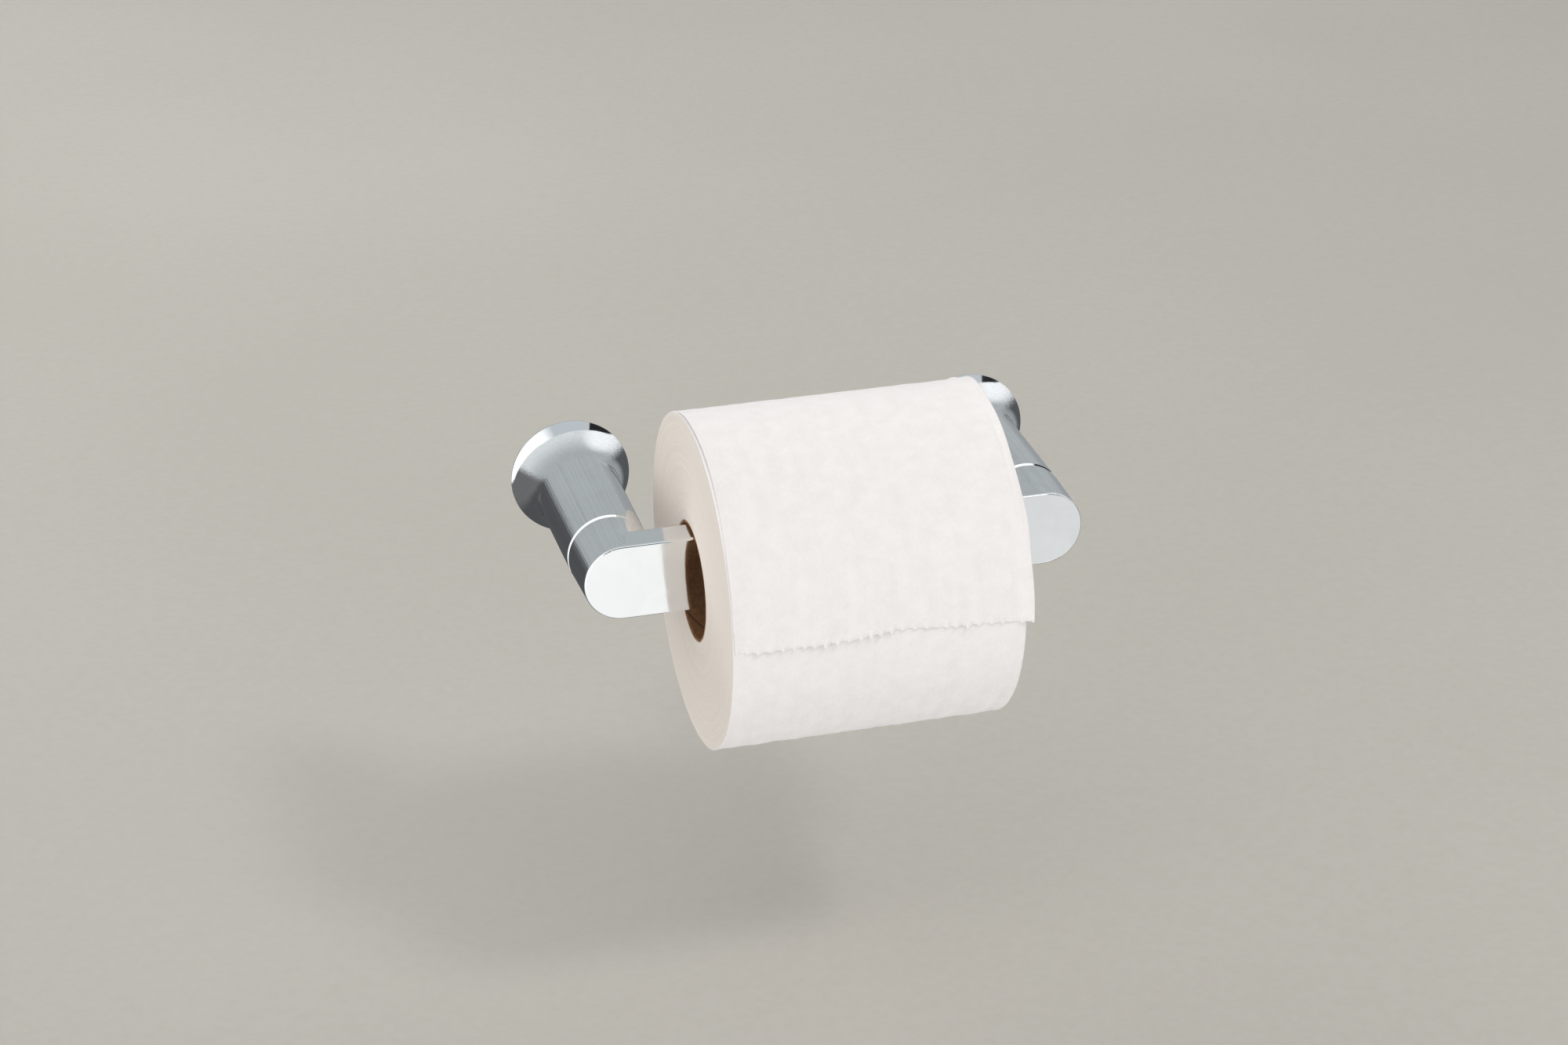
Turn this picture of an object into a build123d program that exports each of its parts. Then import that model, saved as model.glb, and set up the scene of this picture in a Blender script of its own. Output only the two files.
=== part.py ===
from build123d import *
import os
from math import asin, cos, radians, sin, sqrt

# A wall-mounted toilet paper holder whose bar swings up round its left post.
# Millimetres. The wall is the plane y = 0 and the holder stands out from it
# towards -Y; +X runs to the right and +Z up. The origin is on the wall, midway
# between the two post axes. Sketches on Plane.XZ look out of the wall, with
# local x along +X and local y along +Z, and a positive offset moves outwards.

# ---- Driving dimensions -------------------------------------------------
post_spacing = 152.4        # between the two post axes
post_length = 68.0          # from the wall to the post's front face
flange_radius = 22.0        # bell mouth at the wall
lip_thickness = 0.8         # straight edge of the bell mouth
lip_chamfer = 0.3
flare_length = 18.7         # how far the bell's hollow curve reaches
waist_radius = 15.1         # where the curve ends and the taper begins
nose_radius = 14.7          # at the seam
nose_chamfer = 0.6
web_thickness = 8.0         # solid front end of each hollow post

seam_gap = 0.5              # between a post and the bar's cap
cap_back_radius = 14.6      # rear of the bar's round caps
bar_radius = 13.8           # rounded ends and half the height of the bar
bar_depth = 11.8
bar_projection = 91.8       # from the wall to the bar's flat front
edge_fillet = 0.8

pocket_length = 98.0        # hollow in the bar's back
pocket_height = 18.6
front_wall = 3.5
cover_length = 102.0
cover_height = 21.0
cover_thickness = 1.6
peg_radius = 2.0
peg_pitch = 42.0

plate_radius = 17.2         # wall bracket
plate_thickness = 2.5
hub_radius = 12.2
hub_bore_radius = 10.4
hub_length = 14.0
fit_gap = 0.3               # between a post and the bracket inside it
screw_pitch = 13.2          # between the two screws of one bracket

screw_hole_radius = 2.3
screw_neck_radius = 2.25    # under the head, tapering to the shank at the wall
screw_shank_radius = 2.0
screw_head_radius = 3.4
screw_head_height = 2.3
screw_shank_end = 16.0      # the screws stand out behind the wall plane
screw_tip_end = 19.0
cross_width = 0.9           # cross recess in the heads
cross_length = 3.8
cross_depth = 1.5

set_screw_radius = 2.0
set_screw_length = 4.0
set_screw_station = 8.0     # distance from the wall
groove_radius = 11.6        # floor of the hub's groove for the set screw
groove_width = 4.4

shoulder_radius = 4.0       # pivot bolt
shoulder_running_gap = 0.05
bush_radius = 5.0
ring_radius = 7.0           # nylon rings in the two seams
bolt_head_radius = 6.5
bolt_head_length = 4.0
bolt_thread_radius = 2.95
bolt_thread_length = 10.5

spring_room = 1.0           # working height of the spring washer
spring_sheet = 0.35
spring_radius = 7.2
washer_radius = 7.5
washer_thickness = 1.0

stop_pin_radius = 1.5
stop_pin_circle = 10.0      # radius on which the stop pin travels
stop_pin_angle = 135.0      # its place with the bar down
swing_angle = 90.0          # how far the bar swings up
stop_groove_half_width = 1.9
stop_groove_depth = 5.0

rest_pin_radius = 2.5
rest_pin_reach = 6.5        # how far the rest pin stands out of the right post
rest_gap = 0.3              # between the rest pin and the slot's lining
slot_depth = 6.8
lining = 1.4

roll_width = 102.4
roll_offset = 0.1           # the roll's middle, right of the bar's middle
roll_radius = 59.3
core_radius = 20.3          # inside of the cardboard core
core_wall = 1.0
wind_gap = 0.05             # between the core and the paper wound on it
core_gap = 0.3              # between the core and the bar it hangs on
sheet_gap = 0.3
sheet_thickness = 0.4
sheet_overhang = 2.3        # how far the loose sheet stands out past the right end
sheet_top_angle = 118.0     # angles round the roll, from the front over the top
sheet_end_angle = -3.0

# ---- Derived values -----------------------------------------------------
left_x = -post_spacing / 2
right_x = post_spacing / 2
flare_rise = flange_radius - waist_radius
flare_radius = (flare_rise**2 + (flare_length - lip_thickness) ** 2) / (2 * flare_rise)
half_flare = asin((flare_length - lip_thickness) / flare_radius) / 2
socket_radius = hub_radius + fit_gap
socket_end_radius = socket_radius - 1.2
web_back = post_length - web_thickness
cap_back = post_length + seam_gap
bar_back = bar_projection - bar_depth
ring_recess = 0.5
ring_back = post_length - ring_recess
ring_front = cap_back - 0.1
roll_y = -(bar_back + bar_projection) / 2
corner_depth = bar_depth / 2 - edge_fillet
corner_height = bar_radius - edge_fillet
roll_drop = sqrt((core_radius - edge_fillet) ** 2 - corner_depth**2) - corner_height - core_gap
roll_z = -roll_drop
roll_left = roll_offset - roll_width / 2
roll_right = roll_offset + roll_width / 2

os.makedirs("parts", exist_ok=True)


def save(piece, name):
    piece.part.label = name
    export_step(piece.part, f"parts/{name}.step")


def post_axis(x):
    return Axis((x, 0, 0), (0, 1, 0))


def turning_plane(x):
    """Plane through a post's axis: local x is the radius, local y is global Y."""
    return Plane((x, 0, 0), x_dir=(1, 0, 0), z_dir=(0, 0, 1))


def turned(x, *corners):
    """A solid turned about the post axis at x from (radius, y) corners."""
    with BuildPart() as body:
        with BuildSketch(turning_plane(x)):
            with BuildLine():
                Polyline(*corners, close=True)
            make_face()
        revolve(axis=post_axis(x))
    return body


def ring(x, inner, outer, back, front):
    """A plain ring about the post axis at x, between two distances from the wall."""
    return turned(x, (inner, -back), (outer, -back), (outer, -front), (inner, -front))


# ---- Wall fixing --------------------------------------------------------
def wall_bracket(x):
    """Round plate with a hub that the post slips over, and a groove for its set screw."""
    groove_start = set_screw_station - groove_width / 2
    groove_end = set_screw_station + groove_width / 2
    with BuildPart() as bracket:
        with BuildSketch(turning_plane(x)):
            with BuildLine():
                Polyline(
                    (0, 0),
                    (plate_radius, 0),
                    (plate_radius, -plate_thickness),
                    (hub_radius, -plate_thickness),
                    (hub_radius, -groove_start),
                    (groove_radius, -groove_start),
                    (groove_radius, -groove_end),
                    (hub_radius, -groove_end),
                    (hub_radius, 0.5 - hub_length),
                    (hub_radius - 0.5, -hub_length),
                    (hub_bore_radius, -hub_length),
                    (hub_bore_radius, -plate_thickness),
                    (0, -plate_thickness),
                    close=True,
                )
            make_face()
        revolve(axis=post_axis(x))
        with BuildSketch(Plane.XZ):
            with Locations((x, screw_pitch / 2), (x, -screw_pitch / 2)):
                Circle(screw_hole_radius)
        extrude(amount=plate_thickness, mode=Mode.SUBTRACT)
    return bracket


for side, x in (("left", left_x), ("right", right_x)):
    save(wall_bracket(x), f"{side}_wall_bracket")

screw_places = [(x, z) for x in (left_x, right_x) for z in (screw_pitch / 2, -screw_pitch / 2)]
head_top = plate_thickness + screw_head_height
with BuildPart() as wall_screws:
    for x, z in screw_places:
        with BuildSketch(Plane((x, 0, z), x_dir=(1, 0, 0), z_dir=(0, 0, 1))):
            with BuildLine():
                Polyline(
                    (0, -head_top),
                    (0, screw_tip_end),
                    (screw_shank_radius, screw_shank_end),
                    (screw_shank_radius, 0),
                    (screw_neck_radius, -plate_thickness),
                    (screw_head_radius, -plate_thickness),
                    (screw_head_radius, -plate_thickness - 0.6),
                )
                ThreePointArc(
                    (screw_head_radius, -plate_thickness - 0.6),
                    (screw_head_radius * 0.72, -head_top + 0.55),
                    (0, -head_top),
                )
            make_face()
        revolve(axis=Axis((x, 0, z), (0, 1, 0)))
    with BuildSketch(Plane.XZ.offset(head_top - cross_depth)):
        with Locations(*screw_places):
            Rectangle(cross_length, cross_width)
            Rectangle(cross_width, cross_length)
    extrude(amount=2 * cross_depth, mode=Mode.SUBTRACT)
save(wall_screws, "wall_screws")


# ---- Posts --------------------------------------------------------------
def post_body(x):
    """Hollow bell-mouthed post: open at the wall, closed by a thick web in front."""
    recess_radius = plate_radius + 0.4
    recess_depth = plate_thickness + 0.7
    arc_x = waist_radius + flare_radius
    arc_y = -flare_length
    middle = (arc_x - flare_radius * cos(half_flare), arc_y + flare_radius * sin(half_flare))
    with BuildPart() as post:
        with BuildSketch(turning_plane(x)):
            with BuildLine():
                Polyline(
                    (waist_radius, -flare_length),
                    (nose_radius, nose_chamfer - post_length),
                    (nose_radius - nose_chamfer, -post_length),
                    (0, -post_length),
                    (0, 0),
                    (flange_radius - lip_chamfer, 0),
                    (flange_radius, -lip_chamfer),
                    (flange_radius, -lip_thickness),
                )
                ThreePointArc((flange_radius, -lip_thickness), middle, (waist_radius, -flare_length))
            make_face()
        revolve(axis=post_axis(x))
        with BuildSketch(turning_plane(x)):
            with BuildLine():
                Polyline(
                    (0, 0),
                    (recess_radius, 0),
                    (recess_radius, -recess_depth),
                    (socket_radius, -recess_depth),
                    (socket_radius, -hub_length - 2),
                    (socket_end_radius, -web_back),
                    (0, -web_back),
                    close=True,
                )
            make_face()
        revolve(axis=post_axis(x), mode=Mode.SUBTRACT)
        with BuildSketch(Plane((x, -set_screw_station, 0), x_dir=(1, 0, 0), z_dir=(0, 0, -1))):
            Circle(set_screw_radius + 0.05)
        extrude(amount=flange_radius, mode=Mode.SUBTRACT)
    return post


left_blank = post_body(left_x)
with BuildPart() as left_post:
    add(left_blank.part)
    with BuildSketch(Plane.XZ.offset(web_back)):
        with Locations((left_x, 0)):
            Circle(bush_radius)
    extrude(amount=web_thickness, mode=Mode.SUBTRACT)
    with BuildSketch(Plane.XZ.offset(ring_back)):
        with Locations((left_x, 0)):
            Circle(ring_radius + 0.2)
    extrude(amount=ring_recess, mode=Mode.SUBTRACT)
    with BuildSketch(Plane.XZ.offset(post_length - stop_groove_depth)):
        with BuildLine() as groove_path:
            CenterArc((left_x, 0), stop_pin_circle, stop_pin_angle, swing_angle)
        SlotArc(groove_path.wires()[0], 2 * stop_groove_half_width)
    extrude(amount=stop_groove_depth, mode=Mode.SUBTRACT)
save(left_post, "left_post")

right_blank = post_body(right_x)
with BuildPart() as right_post:
    add(right_blank.part)
    with BuildSketch(Plane.XZ.offset(web_back)):
        with Locations((right_x, 0)):
            Circle(rest_pin_radius)
    extrude(amount=web_thickness, mode=Mode.SUBTRACT)
    with BuildSketch(Plane.XZ.offset(ring_back)):
        with Locations((right_x, 0)):
            Circle(ring_radius + 0.2)
    extrude(amount=ring_recess, mode=Mode.SUBTRACT)
save(right_post, "right_post")

set_screw_tip = groove_radius + 0.15
with BuildPart() as set_screws:
    for x in (left_x, right_x):
        base = Plane((x, -set_screw_station, -set_screw_tip), x_dir=(1, 0, 0), z_dir=(0, 0, -1))
        with BuildSketch(base):
            Circle(set_screw_radius)
        extrude(amount=set_screw_length)
        with BuildSketch(base.offset(set_screw_length)):
            RegularPolygon(1.1, 6)
        extrude(amount=-1.8, mode=Mode.SUBTRACT)
    tips = set_screws.edges().filter_by(GeomType.CIRCLE).group_by(Axis.Z)[-1]
    chamfer(tips, 0.6)
save(set_screws, "set_screws")

# ---- Pivot in the left post ---------------------------------------------
bush_bore = shoulder_radius + shoulder_running_gap
pivot_bush = ring(left_x, bush_bore, bush_radius, web_back, ring_back)
save(pivot_bush, "pivot_bush")
thrust_washer = ring(left_x, shoulder_radius + 0.3, ring_radius, ring_back, ring_front)
save(thrust_washer, "thrust_washer")

washer_front = web_back - 0.05 - spring_room
washer_back = washer_front - washer_thickness
curl_radius = spring_radius**2 / (2 * (spring_room - spring_sheet))

with BuildPart() as spring_washer:
    with BuildSketch(Plane.XZ.offset(washer_front)):
        with Locations((left_x, 0)):
            Circle(spring_radius)
            Circle(shoulder_radius + 0.3, mode=Mode.SUBTRACT)
    extrude(amount=spring_room)
    with BuildSketch(Plane((left_x, -washer_front - curl_radius, 0), x_dir=(1, 0, 0), z_dir=(0, 0, 1))):
        Circle(curl_radius)
        Circle(curl_radius - spring_sheet, mode=Mode.SUBTRACT)
    extrude(amount=spring_radius, both=True, mode=Mode.INTERSECT)
save(spring_washer, "spring_washer")
pivot_washer = ring(left_x, bush_bore, washer_radius, washer_back, washer_front)
save(pivot_washer, "pivot_washer")

shoulder_end = cap_back + 1.0
head_back = washer_back - bolt_head_length
with BuildPart() as pivot_bolt:
    with BuildSketch(turning_plane(left_x)):
        with BuildLine():
            Polyline(
                (0, -head_back),
                (bolt_head_radius - 0.5, -head_back),
                (bolt_head_radius, -head_back - 0.5),
                (bolt_head_radius, -washer_back),
                (shoulder_radius, -washer_back),
                (shoulder_radius, -shoulder_end),
                (bolt_thread_radius, -shoulder_end),
                (bolt_thread_radius, 0.6 - shoulder_end - bolt_thread_length),
                (bolt_thread_radius - 0.6, -shoulder_end - bolt_thread_length),
                (0, -shoulder_end - bolt_thread_length),
                close=True,
            )
        make_face()
    revolve(axis=post_axis(left_x))
    with BuildSketch(Plane.XZ.offset(head_back)):
        with Locations((left_x, 0)):
            RegularPolygon(2.9, 6)
    extrude(amount=2.4, mode=Mode.SUBTRACT)
save(pivot_bolt, "pivot_bolt")

stop_pin_back = post_length - stop_groove_depth + 0.6
stop_pin_front = cap_back + 7.5
stop_pin_x = left_x + stop_pin_circle * cos(radians(stop_pin_angle))
stop_pin_z = stop_pin_circle * sin(radians(stop_pin_angle))
with BuildPart() as stop_pin:
    with BuildSketch(Plane.XZ.offset(stop_pin_back)):
        with Locations((stop_pin_x, stop_pin_z)):
            Circle(stop_pin_radius)
    extrude(amount=stop_pin_front - stop_pin_back)
    chamfer(stop_pin.edges().group_by(Axis.Y)[-1], 0.3)
save(stop_pin, "stop_pin")

# ---- Rest in the right post ---------------------------------------------
with BuildPart() as rest_pin:
    with BuildSketch(Plane.XZ.offset(web_back)):
        with Locations((right_x, 0)):
            Circle(rest_pin_radius)
    extrude(amount=web_thickness + rest_pin_reach)
    chamfer(rest_pin.edges().group_by(Axis.Y)[0], 0.6)
save(rest_pin, "rest_pin")
glide_ring = ring(right_x, rest_pin_radius, ring_radius, ring_back, ring_front)
save(glide_ring, "glide_ring")

# The pin leaves the slot downwards, and because the bar turns about the left
# post it drifts a little towards that post on the way, so the slot widens.
slot_radius = rest_pin_radius + rest_gap
slot_foot = cap_back_radius + 2
exit_turn = asin(slot_foot / post_spacing)
drift = post_spacing * (1 - cos(exit_turn))


def slot_outline(radius):
    """Closed outline of the rest slot, widening to its open foot."""
    with BuildLine() as outline:
        Polyline(
            (right_x - radius, 0),
            (right_x - radius - drift - 0.8, -slot_foot),
            (right_x + radius + 0.8, -slot_foot),
            (right_x + radius, 0),
        )
        ThreePointArc((right_x + radius, 0), (right_x, radius), (right_x - radius, 0))
    return outline.line


pocket_outline = slot_outline(slot_radius + lining)
slot_line = slot_outline(slot_radius)

with BuildPart() as slot_lining:
    with BuildSketch(Plane.XZ.offset(cap_back)):
        with BuildLine():
            add(pocket_outline)
        make_face()
        with BuildLine():
            add(slot_line)
        make_face(mode=Mode.SUBTRACT)
    extrude(amount=slot_depth)
    with BuildSketch(Plane.XZ.offset(cap_back)):
        with Locations((right_x, 0)):
            Circle(bar_radius)
    extrude(amount=slot_depth, mode=Mode.INTERSECT)
save(slot_lining, "slot_lining")

# ---- The swinging bar ---------------------------------------------------
peg_floor = bar_projection - front_wall


def cap(x):
    """Round end of the bar: a slight cone with a rounded front edge."""
    rim = (bar_radius, edge_fillet - bar_projection)
    face_edge = (bar_radius - edge_fillet, -bar_projection)
    bulge = edge_fillet * (1 - cos(radians(45)))
    with BuildPart() as body:
        with BuildSketch(turning_plane(x)):
            with BuildLine():
                Polyline(
                    face_edge,
                    (0, -bar_projection),
                    (0, -cap_back),
                    (cap_back_radius - 0.4, -cap_back),
                    (cap_back_radius, -cap_back - 0.4),
                    rim,
                )
                ThreePointArc(rim, (bar_radius - bulge, bulge - bar_projection), face_edge)
            make_face()
        revolve(axis=post_axis(x))
    return body


left_cap = cap(left_x)
right_cap = cap(right_x)
with BuildPart() as roll_bar:
    with BuildSketch(Plane.YZ.offset(left_x)):
        with Locations((roll_y, 0)):
            RectangleRounded(bar_depth, 2 * bar_radius, edge_fillet)
    extrude(amount=post_spacing)
    add(left_cap.part)
    add(right_cap.part)
    with BuildSketch(Plane.XZ.offset(bar_back)):
        RectangleRounded(cover_length, cover_height, 2)
    extrude(amount=cover_thickness, mode=Mode.SUBTRACT)
    with BuildSketch(Plane.XZ.offset(bar_back)):
        RectangleRounded(pocket_length, pocket_height, 3)
    extrude(amount=bar_depth - front_wall, mode=Mode.SUBTRACT)
    with BuildSketch(Plane.XZ.offset(cap_back)):
        with BuildLine():
            add(pocket_outline)
        make_face()
    extrude(amount=slot_depth, mode=Mode.SUBTRACT)
    with BuildSketch(Plane.XZ.offset(cap_back)):
        with Locations((left_x, 0)):
            Circle(bolt_thread_radius + 0.05)
    extrude(amount=shoulder_end - cap_back + bolt_thread_length + 1, mode=Mode.SUBTRACT)
    with BuildSketch(Plane.XZ.offset(cap_back)):
        with Locations((left_x, 0)):
            Circle(bush_bore)
    extrude(amount=shoulder_end - cap_back, mode=Mode.SUBTRACT)
    with BuildSketch(Plane.XZ.offset(cap_back)):
        with Locations((stop_pin_x, stop_pin_z)):
            Circle(stop_pin_radius)
    extrude(amount=stop_pin_front - cap_back, mode=Mode.SUBTRACT)
save(roll_bar, "roll_bar")

with BuildPart() as bar_back_cover:
    with BuildSketch(Plane.XZ.offset(bar_back)):
        RectangleRounded(cover_length - 0.2, cover_height - 0.2, 1.9)
    extrude(amount=cover_thickness)
    with BuildSketch(Plane.XZ.offset(bar_back + cover_thickness)):
        with GridLocations(peg_pitch, 0, 3, 1):
            Circle(peg_radius)
    extrude(amount=peg_floor - bar_back - cover_thickness)
save(bar_back_cover, "bar_back_cover")

# ---- The roll -----------------------------------------------------------
roll_plane = Plane((roll_left, roll_y, roll_z), x_dir=(0, -1, 0), z_dir=(1, 0, 0))


def tube(inner, outer, start, end):
    """A tube round the roll's axis between two x positions."""
    with BuildPart() as body:
        with BuildSketch(roll_plane.offset(start - roll_left)):
            Circle(outer)
            Circle(inner, mode=Mode.SUBTRACT)
        extrude(amount=end - start)
    return body


core_tube = tube(core_radius, core_radius + core_wall, roll_left, roll_right)
save(core_tube, "core_tube")
paper_roll = tube(core_radius + core_wall + wind_gap, roll_radius, roll_left, roll_right)
save(paper_roll, "paper_roll")

sheet_inner = roll_radius + sheet_gap
sheet_outer = sheet_inner + sheet_thickness
sheet_turn = sheet_top_angle - sheet_end_angle
with BuildPart() as loose_sheet:
    with BuildSketch(roll_plane):
        with BuildLine():
            outer_arc = CenterArc((0, 0), sheet_outer, -sheet_top_angle, sheet_turn)
            inner_arc = CenterArc((0, 0), sheet_inner, -sheet_top_angle, sheet_turn)
            Line(outer_arc @ 0, inner_arc @ 0)
            Line(outer_arc @ 1, inner_arc @ 1)
        make_face()
    extrude(amount=roll_width + sheet_overhang)
save(loose_sheet, "loose_sheet")
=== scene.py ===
from math import cos, pi, radians, sin, sqrt

import bmesh
import bpy
import numpy as np
from mathutils import Matrix, Vector


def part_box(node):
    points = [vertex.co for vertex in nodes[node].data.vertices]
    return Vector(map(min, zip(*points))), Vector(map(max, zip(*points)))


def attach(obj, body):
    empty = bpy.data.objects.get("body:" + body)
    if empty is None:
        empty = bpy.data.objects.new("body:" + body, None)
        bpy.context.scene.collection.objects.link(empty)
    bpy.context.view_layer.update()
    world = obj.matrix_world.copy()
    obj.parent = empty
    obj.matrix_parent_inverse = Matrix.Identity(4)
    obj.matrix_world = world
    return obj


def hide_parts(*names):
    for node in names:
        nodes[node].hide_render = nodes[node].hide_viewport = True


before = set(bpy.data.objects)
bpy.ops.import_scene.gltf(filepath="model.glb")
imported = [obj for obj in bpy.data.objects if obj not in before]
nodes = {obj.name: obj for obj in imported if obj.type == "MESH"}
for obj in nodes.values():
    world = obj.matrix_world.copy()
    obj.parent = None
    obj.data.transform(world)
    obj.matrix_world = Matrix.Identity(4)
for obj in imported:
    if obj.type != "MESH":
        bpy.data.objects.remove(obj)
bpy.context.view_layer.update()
MM = 0.001

# ---- Camera ---------------------------------------------------------------
CAMERA_PLACE = (-0.26998, -1.04575, 0.48976)
CAMERA_YAW = 14.730          # degrees
CAMERA_PITCH = 25.683
CAMERA_ROLL = -0.679
CAMERA_LENS = 72.9           # millimetres, on a 36 mm wide sensor


def make_camera():
    """The photo's view: from the front left, looking down."""
    data = bpy.data.cameras.new("photo_camera")
    data.sensor_width = 36.0
    data.lens = CAMERA_LENS
    data.clip_start = 0.01
    camera = bpy.data.objects.new("photo_camera", data)
    turn = Matrix.Rotation(radians(-CAMERA_YAW), 4, "Z")
    tilt = Matrix.Rotation(radians(90 - CAMERA_PITCH), 4, "X")
    roll = Matrix.Rotation(radians(CAMERA_ROLL), 4, "Z")
    camera.matrix_world = Matrix.Translation(CAMERA_PLACE) @ turn @ tilt @ roll
    bpy.context.scene.collection.objects.link(camera)
    bpy.context.scene.camera = camera


make_camera()


# ---- Node helpers ---------------------------------------------------------
class Graph:
    """Adds nodes to a node tree. Inputs are numbers, colours or other nodes' outputs."""

    def __init__(self, tree):
        self.tree = tree
        tree.nodes.clear()

    def node(self, kind, inputs=(), **settings):
        made = self.tree.nodes.new(kind)
        for key, value in settings.items():
            setattr(made, key, value)
        for key, value in dict(inputs).items():
            if isinstance(value, bpy.types.NodeSocket):
                self.tree.links.new(value, made.inputs[key])
            else:
                made.inputs[key].default_value = value
        return made

    def math(self, operation, a, b=0.0):
        return self.node("ShaderNodeMath", {0: a, 1: b}, operation=operation).outputs[0]

    def spread(self, value, low, high, to_low=0.0, to_high=1.0):
        """value eased from low..high to to_low..to_high, and held outside."""
        inputs = {"Value": value, "From Min": low, "From Max": high, "To Min": to_low, "To Max": to_high}
        return self.node("ShaderNodeMapRange", inputs, interpolation_type="SMOOTHSTEP").outputs[0]

    def mix(self, share, a, b):
        """Colour a at share 0, colour b at share 1."""
        return self.node("ShaderNodeMix", {0: share, 6: a, 7: b}, data_type="RGBA").outputs[2]

    def noise(self, place, scale, detail=3.0, roughness=0.5, distortion=0.0):
        inputs = {"Vector": place, "Scale": scale, "Detail": detail, "Roughness": roughness}
        inputs["Distortion"] = distortion
        return self.node("ShaderNodeTexNoise", inputs).outputs[0]

    def combine(self, x, y, z):
        return self.node("ShaderNodeCombineXYZ", {0: x, 1: y, 2: z}).outputs[0]

    def separate(self, vector):
        return self.node("ShaderNodeSeparateXYZ", {0: vector}).outputs

    def place(self):
        return self.node("ShaderNodeTexCoord").outputs["Object"]

    def bump(self, height, distance, below=None):
        """A normal from height, on top of the normal below."""
        inputs = {"Height": height, "Distance": distance}
        if below is not None:
            inputs["Normal"] = below
        return self.node("ShaderNodeBump", inputs).outputs[0]

    def about_x_axis(self, axis_y, axis_z):
        """Object place as angle, distance from an axis along X, and x."""
        x, y, z = self.separate(self.place())
        dy = self.math("SUBTRACT", axis_y, y)
        dz = self.math("SUBTRACT", z, axis_z)
        squares = self.math("ADD", self.math("MULTIPLY", dy, dy), self.math("MULTIPLY", dz, dz))
        distance = self.math("SQRT", squares)
        return self.math("ARCTAN2", dz, dy), distance, x


def new_material(name, make, **shader):
    """A material whose graph is filled by make(graph), which returns the linked shader inputs."""
    material = bpy.data.materials.new(name)
    material.use_nodes = True
    graph = Graph(material.node_tree)
    linked = make(graph)
    inputs = {key.replace("_", " "): value for key, value in shader.items()}
    surface = graph.node("ShaderNodeBsdfPrincipled", {**inputs, **linked})
    graph.node("ShaderNodeOutputMaterial", {"Surface": surface.outputs[0]})
    return material


# ---- Sizes taken from the frame --------------------------------------------
roll_low, roll_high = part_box("paper_roll")
core_low, core_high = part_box("core_tube")
sheet_low, sheet_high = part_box("loose_sheet")
post_low, post_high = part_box("left_post")
screws_low, screws_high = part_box("wall_screws")
ROLL_Y = (roll_low.y + roll_high.y) / 2
ROLL_Z = (roll_low.z + roll_high.z) / 2
ROLL_RADIUS = (roll_high.z - roll_low.z) / 2
ROLL_LEFT = roll_low.x
ROLL_RIGHT = roll_high.x
CORE_RADIUS = (core_high.z - core_low.z) / 2
CORE_WALL = 1.0 * MM
WRAP = 0.40 * MM             # thickness of one wrap of tissue
SEAM_PITCH = 60 * MM         # the core's spiral seam, measured along the core
SEAM_DEPTH = 0.16 * MM
SEAM_WIDTH = 0.55 * MM
POST_X = (post_low.x + post_high.x) / 2


# ---- Materials --------------------------------------------------------------
def chrome_graph(g):
    """Polished plate: faint handling smudges in the gloss, and the casting's slight waviness."""
    place = g.place()
    smudges = g.noise(place, 55, 4, 0.6, 0.4)
    specks = g.noise(place, 900, 2)
    haze = g.math("ADD", g.math("MULTIPLY", smudges, 0.85), g.math("MULTIPLY", specks, 0.3))
    roughness = g.spread(haze, 0.42, 0.95, 0.035, 0.13)
    waviness = g.noise(place, 120, 2)
    polish = g.noise(place, 2600, 2)
    normal = g.bump(waviness, 0.022 * MM)
    normal = g.bump(polish, 0.0006 * MM, normal)
    colour = g.mix(g.spread(smudges, 0.35, 0.75), (0.80, 0.815, 0.83, 1), (0.845, 0.86, 0.87, 1))
    return {"Base Color": colour, "Roughness": roughness, "Normal": normal}


def wall_side_chrome_graph(g):
    """Chrome outside, and a ground, unplated face where the post meets the wall."""
    linked = chrome_graph(g)
    place = g.place()
    x, y, z = g.separate(place)
    ground = g.math("GREATER_THAN", y, -0.15 * MM)
    scratches = g.noise(g.combine(g.math("MULTIPLY", x, 40), y, g.math("MULTIPLY", z, 2600)), 1.0, 4, 0.6)
    dull = g.mix(g.spread(scratches, 0.3, 0.7), (0.33, 0.33, 0.335, 1), (0.52, 0.52, 0.525, 1))
    rough = g.spread(scratches, 0.3, 0.7, 0.34, 0.5)
    linked["Base Color"] = g.mix(ground, linked["Base Color"], dull)
    inputs = {0: ground, 2: linked["Roughness"], 3: rough}
    linked["Roughness"] = g.node("ShaderNodeMix", inputs, data_type="FLOAT").outputs[0]
    cut = g.math("MULTIPLY", ground, scratches)
    linked["Normal"] = g.bump(cut, 0.02 * MM, linked["Normal"])
    return linked


def zinc_graph(g):
    """As-cast zinc: fine grain, cloudy tone."""
    place = g.place()
    grain = g.noise(place, 1500, 3, 0.6)
    clouds = g.noise(place, 130, 4)
    tone = g.math("ADD", g.math("MULTIPLY", clouds, 0.7), g.math("MULTIPLY", grain, 0.3))
    colour = g.mix(g.spread(tone, 0.35, 0.65), (0.27, 0.275, 0.285, 1), (0.47, 0.475, 0.48, 1))
    normal = g.bump(grain, 0.05 * MM, g.bump(clouds, 0.08 * MM))
    return {"Base Color": colour, "Roughness": g.spread(tone, 0.35, 0.65, 0.38, 0.56), "Normal": normal}


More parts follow.
